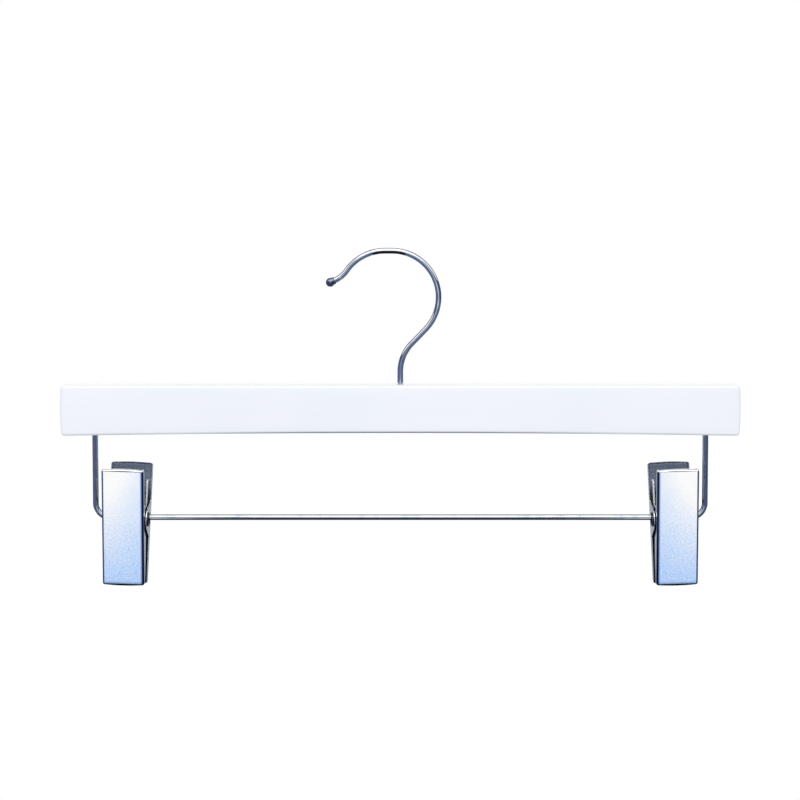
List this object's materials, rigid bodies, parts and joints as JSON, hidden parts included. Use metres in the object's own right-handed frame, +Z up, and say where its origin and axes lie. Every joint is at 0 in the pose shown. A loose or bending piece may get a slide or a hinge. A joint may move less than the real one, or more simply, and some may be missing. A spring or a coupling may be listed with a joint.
{
  "type": "skirt hanger",
  "caption": "White lacquered wooden skirt hanger with a swivelling chrome hook, a bent wire rod below the bar and sprung steel clips that slide on the rod.",
  "frame": {"origin": "the point of the hook's inner wall, on the swivel axis, that sits on a rail", "axes": "+X along the bar with the hook's mouth towards -X, +Y to the back, +Z up"},
  "size_m": [0.355, 0.0277, 0.1775],
  "materials": {
    "bar_lacquer": "white lacquer over close-grained wood",
    "hook_chrome": "bright chrome plate",
    "frame_chrome": "bright chrome plate",
    "clip_plate": "satin bright plated sheet steel",
    "eyelet_metal": "plated, drawn tube",
    "spring_steel": "bright drawn spring wire",
    "washer_zinc": "zinc plated",
    "grip_rubber": "matte moulded rubber"
  },
  "bodies": {
    "hook": {"hook": "hook_chrome", "hook_ball": "hook_chrome"},
    "bar": {"bar": "bar_lacquer", "hook_washer": "washer_zinc", "wire_frame": "frame_chrome"},
    "left_runner": {"left_eyelet": "eyelet_metal"},
    "left_back_jaw": {"left_back_jaw": "clip_plate", "left_back_grip": "grip_rubber", "left_spring": "spring_steel"},
    "left_front_jaw": {"left_front_jaw": "clip_plate", "left_front_grip": "grip_rubber"},
    "right_runner": {"right_eyelet": "eyelet_metal"},
    "right_back_jaw": {"right_back_jaw": "clip_plate", "right_back_grip": "grip_rubber", "right_spring": "spring_steel"},
    "right_front_jaw": {"right_front_jaw": "clip_plate", "right_front_grip": "grip_rubber"}
  },
  "joints": [
    {"name": "hook_swivel", "type": "hinge", "parent": "hook", "child": "bar", "pos_m": [0, 0, -0.06805], "axis": [0, 0, 1], "continuous": true},
    {"name": "left_clip_slide", "type": "slide", "parent": "bar", "child": "left_runner", "axis": [1, 0, 0], "range_m": [0, 0.13]},
    {"name": "left_clip_swing", "type": "hinge", "parent": "left_runner", "child": "left_back_jaw", "pos_m": [-0.14405, 0, -0.13907], "axis": [0.9996, 0, -0.0297], "continuous": true},
    {"name": "left_clip_open", "type": "hinge", "parent": "left_back_jaw", "child": "left_front_jaw", "pos_m": [-0.14405, 0, -0.13907], "axis": [-0.9996, 0, 0.0297], "range_deg": [0, 32], "stiffness_Nm_per_rad": 0.3, "springref_deg": -22.92, "deforming": ["left_spring"]},
    {"name": "right_clip_slide", "type": "slide", "parent": "bar", "child": "right_runner", "axis": [-1, 0, 0], "range_m": [0, 0.13]},
    {"name": "right_clip_swing", "type": "hinge", "parent": "right_runner", "child": "right_back_jaw", "pos_m": [0.14405, 0, -0.13907], "axis": [0.9996, 0, 0.0297], "continuous": true},
    {"name": "right_clip_open", "type": "hinge", "parent": "right_back_jaw", "child": "right_front_jaw", "pos_m": [0.14405, 0, -0.13907], "axis": [-0.9996, 0, -0.0297], "range_deg": [0, 32], "stiffness_Nm_per_rad": 0.3, "springref_deg": -22.92, "deforming": ["right_spring"]}
  ]
}
